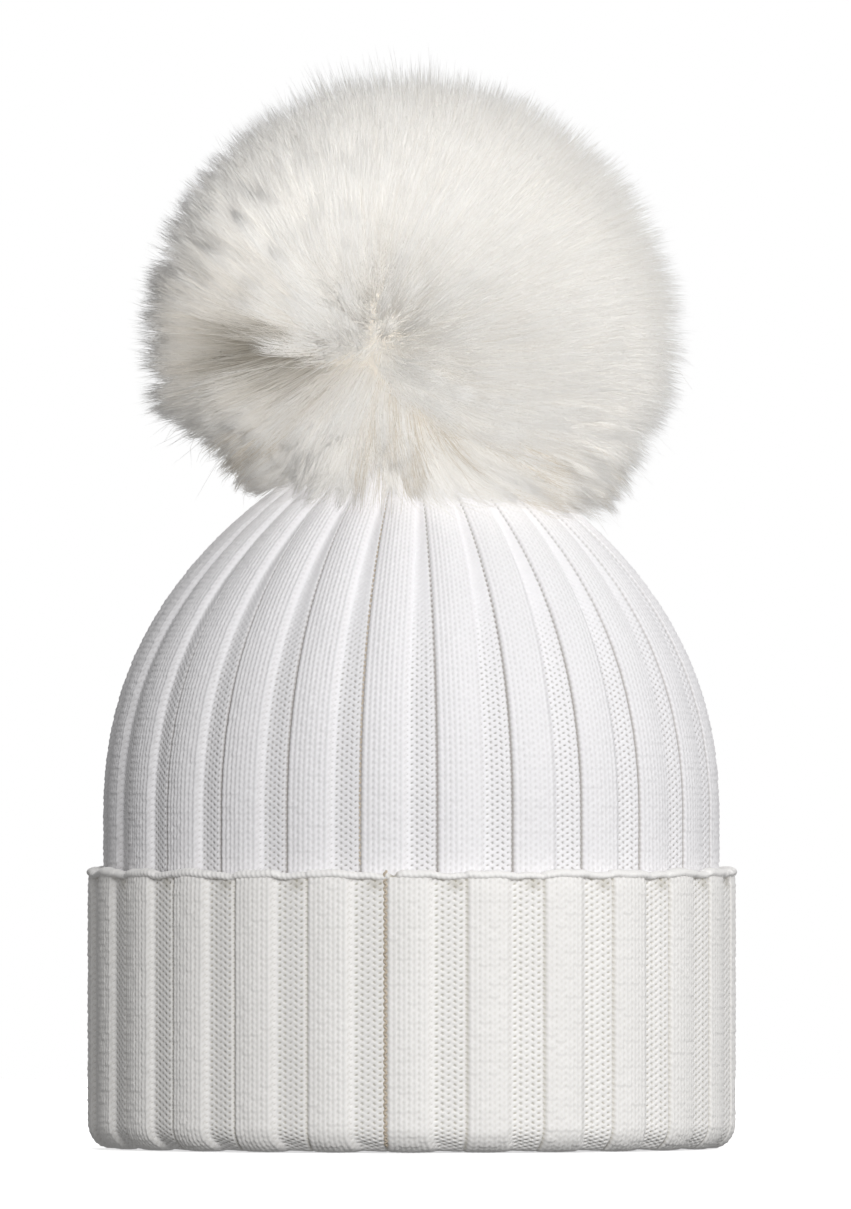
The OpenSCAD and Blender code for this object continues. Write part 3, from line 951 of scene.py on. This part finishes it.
def build_underfur(material):
    """A lumpy closed ring of short wool round the pelt, hollow underneath over the press stud."""
    outer_rows, under_rows = 70, 13
    polar = np.linspace(0.02, 2.62, outer_rows)
    outer = np.stack([UNDERFUR_R * np.sin(polar), UNDERFUR_HEIGHT + UNDERFUR_R * np.cos(polar)], -1)
    low_r, low_z = UNDERSIDE[::-1].T
    under_r = np.linspace(outer[-1, 0], RECESS_R, under_rows + 1)[1:]
    under = np.stack([under_r, np.interp(under_r, low_r, low_z)], -1)
    lining_r = PELT_R - 1
    inner_polar = np.linspace(math.pi - math.asin(RECESS_R / lining_r), 0.02, 30)
    inner = np.stack([lining_r * np.sin(inner_polar), PELT_CENTRE[2] + lining_r * np.cos(inner_polar)], -1)
    columns = 260
    angles = (np.arange(columns) * TAU / columns)[None, :]
    outer[:, 1] = np.maximum(outer[:, 1], np.interp(outer[:, 0], low_r, low_z))
    line = np.concatenate([outer, under])
    wave = 1.6 * np.sin(9 * angles + line[:, 1:] / 6) * np.sin(line[:, 1:] / 5 + 2 * np.sin(4 * angles))
    fade = np.concatenate([smooth(np.linspace(0, 8, outer_rows)), np.linspace(1, 0, under_rows)])[:, None]
    radius = line[:, :1] + wave * fade
    grid = np.concatenate([np.stack([r * np.sin(angles), r * np.cos(angles), z + 0 * angles], -1)
                           for r, z in ((radius, line[:, 1:]), (inner[:, :1], inner[:, 1:]))])
    rows = len(grid)
    points = np.concatenate([grid.reshape(-1, 3), [[0, 0, outer[0, 1]], [0, 0, inner[-1, 1]]]])
    i = np.arange(columns)
    right = (i + 1) % columns
    last = (rows - 1) * columns
    tris = np.concatenate([np.stack([right, i, np.full(columns, rows * columns)], -1),
                           np.stack([last + i, last + right, np.full(columns, rows * columns + 1)], -1)])
    wool = make_object("pompom_underfur", points, grid_quads(rows, columns, 0), tris,
                       {"pit": np.zeros(len(points))}, material)
    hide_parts("pompom_fur")
    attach(wool, "pompom")


def build_fur(material):
    """The long hairs, in sectors, with the ones that lie over the crown as two hems of their own."""
    rng = np.random.default_rng(21)
    paths, tone_and_shade = strand_paths(rng, STRANDS, HAIR_SEGMENTS)
    lowest = paths[..., 2].min(axis=1)
    radius = np.hypot(paths[:, -1, 0], paths[:, -1, 1])
    hem = lowest < crown_z(np.minimum(radius, BODY_R)) + 14
    turn = np.arctan2(paths[:, -1, 0], -paths[:, -1, 1])
    groups = {}
    for k in range(FUR_PIECES):
        sector = np.floor((turn + np.pi) / TAU * FUR_PIECES).astype(int).clip(0, FUR_PIECES - 1) == k
        groups[f"pompom_fur_hair_{k + 1}"] = sector & ~hem
    groups["pompom_fur_hem_1"] = hem & (turn < 0)
    groups["pompom_fur_hem_2"] = hem & (turn >= 0)
    for name, chosen in groups.items():
        hair = strand_mesh(name, paths[chosen], tone_and_shade[chosen], material)
        # White fur scatters light deep inside itself, so the hairs throw no hard shadow
        hair.visible_shadow = False
        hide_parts("pompom_fur")
        if "hem" in name:
            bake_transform(hair)
        else:
            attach(hair, "pompom")


# ---------------------------------------------------------------- studio


def area_light(name, place, aim, size, power):
    """A round white light that the camera doesn't see."""
    data = bpy.data.lights.new(name, "AREA")
    data.shape = "DISK"
    data.size = size
    data.energy = power
    light = bpy.data.objects.new(name, data)
    light.location = place
    light.rotation_euler = direction_euler(place, aim)
    light.visible_camera = False
    bpy.context.scene.collection.objects.link(light)


def direction_euler(place, aim):
    """The rotation that points an object's -Z axis from a place to an aim."""
    return (Vector(aim) - Vector(place)).to_track_quat("-Z", "Y").to_euler()


def build_world(scene):
    """Soft white light from all round, on a plain white background."""
    world = bpy.data.worlds.new("studio")
    world.use_nodes = True
    scene.world = world
    nodes, links = world.node_tree.nodes, world.node_tree.links
    background = nodes["Background"]
    background.inputs["Color"].default_value = (1, 1, 1, 1)
    background.inputs["Strength"].default_value = 0.19
    white = nodes.new("ShaderNodeBackground")
    white.inputs["Color"].default_value = (1, 1, 1, 1)
    white.inputs["Strength"].default_value = 1.0
    rays = nodes.new("ShaderNodeLightPath")
    mix = nodes.new("ShaderNodeMixShader")
    links.new(rays.outputs["Is Camera Ray"], mix.inputs["Fac"])
    links.new(background.outputs[0], mix.inputs[1])
    links.new(white.outputs[0], mix.inputs[2])
    links.new(mix.outputs[0], nodes["World Output"].inputs["Surface"])


def build_floor():
    """A plain white floor, just under the hat. It throws no light up at the hat."""
    half = 1500.0
    floor_points = np.array([[-1, -1, 0], [1, -1, 0], [1, 1, 0], [-1, 1, 0]]) * half
    material, _, _, shader = new_material("floor")
    shader.inputs["Base Color"].default_value = (0.96, 0.96, 0.96, 1)
    shader.inputs["Roughness"].default_value = 0.9
    shader.inputs["Emission Color"].default_value = (1, 1, 1, 1)
    shader.inputs["Emission Strength"].default_value = 0.6
    floor = make_object("floor", floor_points, [[0, 1, 2, 3]], [], None, material)
    floor.location.z = -0.0002
    floor.visible_diffuse = False


def build_lights():
    """A large key light above the camera, soft light from the right and behind, little from the left."""
    middle = (0, 0, 0.17)
    area_light("key", (0.30, -1.80, 0.72), middle, 0.9, 25.5)
    area_light("right_fill", (1.9, -0.6, 0.9), middle, 1.3, 12)
    area_light("left_fill", (-1.9, -0.5, 0.8), middle, 1.3, 1.8)
    area_light("back_fill", (0.0, 1.9, 0.6), middle, 1.0, 20)


def build_camera(scene):
    """A long lens far away, level with the middle of the object, which fills view_height metres."""
    view_height = 0.3724
    camera_data = bpy.data.cameras.new("camera")
    camera_data.sensor_width = 36
    camera_data.lens = 1000
    distance = camera_data.lens / camera_data.sensor_width * view_height
    camera = bpy.data.objects.new("camera", camera_data)
    camera.location = (0.0042, -distance, 0.1674)
    camera.rotation_euler = (math.pi / 2, 0, 0)
    scene.collection.objects.link(camera)
    scene.camera = camera


# ---------------------------------------------------------------- build

# The last colour of each yarn is painted shade, used where its pit attribute is set
body_yarn = yarn_material("body_knit", (0.89, 0.88, 0.895), (0.84, 0.83, 0.845), (0.20, 0.17, 0.14))
cuff_yarn = yarn_material("cuff_knit", (0.92, 0.905, 0.89), (0.87, 0.855, 0.835), (0.34, 0.31, 0.23))
seam_yarn = yarn_material("seam_yarn", (0.60, 0.52, 0.42), (0.45, 0.38, 0.29), (0.3, 0.25, 0.2), 2500)
thread = yarn_material("thread", (0.82, 0.78, 0.70), (0.70, 0.66, 0.58), (0.4, 0.36, 0.3), 3000)

cuff, cuff_length = build_cuff(cuff_yarn)
build_body(body_yarn)
edge = build_rolled_edge(cuff_yarn)
build_seams(seam_yarn)
build_gather(body_yarn)
build_threads(thread)
build_pelt(leather_material(), felt_material("stuffing", (0.9, 0.9, 0.88), (0.75, 0.75, 0.73)))
build_label(tape_material())
build_underfur(underfur_material())
build_fur(fur_material())

felt = felt_material("felt", (0.90, 0.90, 0.88), (0.74, 0.74, 0.72))
nickel = metal_material("nickel", (0.80, 0.79, 0.77), 0.28)
finish_cad_parts({
    "crown_backing_disc": felt, "pompom_base_disc": felt,
    "snap_socket": nickel, "snap_socket_rivet": nickel, "snap_stud": nickel, "snap_stud_rivet": nickel,
    "snap_ring_spring": metal_material("spring_wire", (0.78, 0.66, 0.42), 0.35),
})

scene = bpy.context.scene
scene.view_settings.view_transform = "Standard"
build_world(scene)
build_floor()
build_lights()
build_camera(scene)
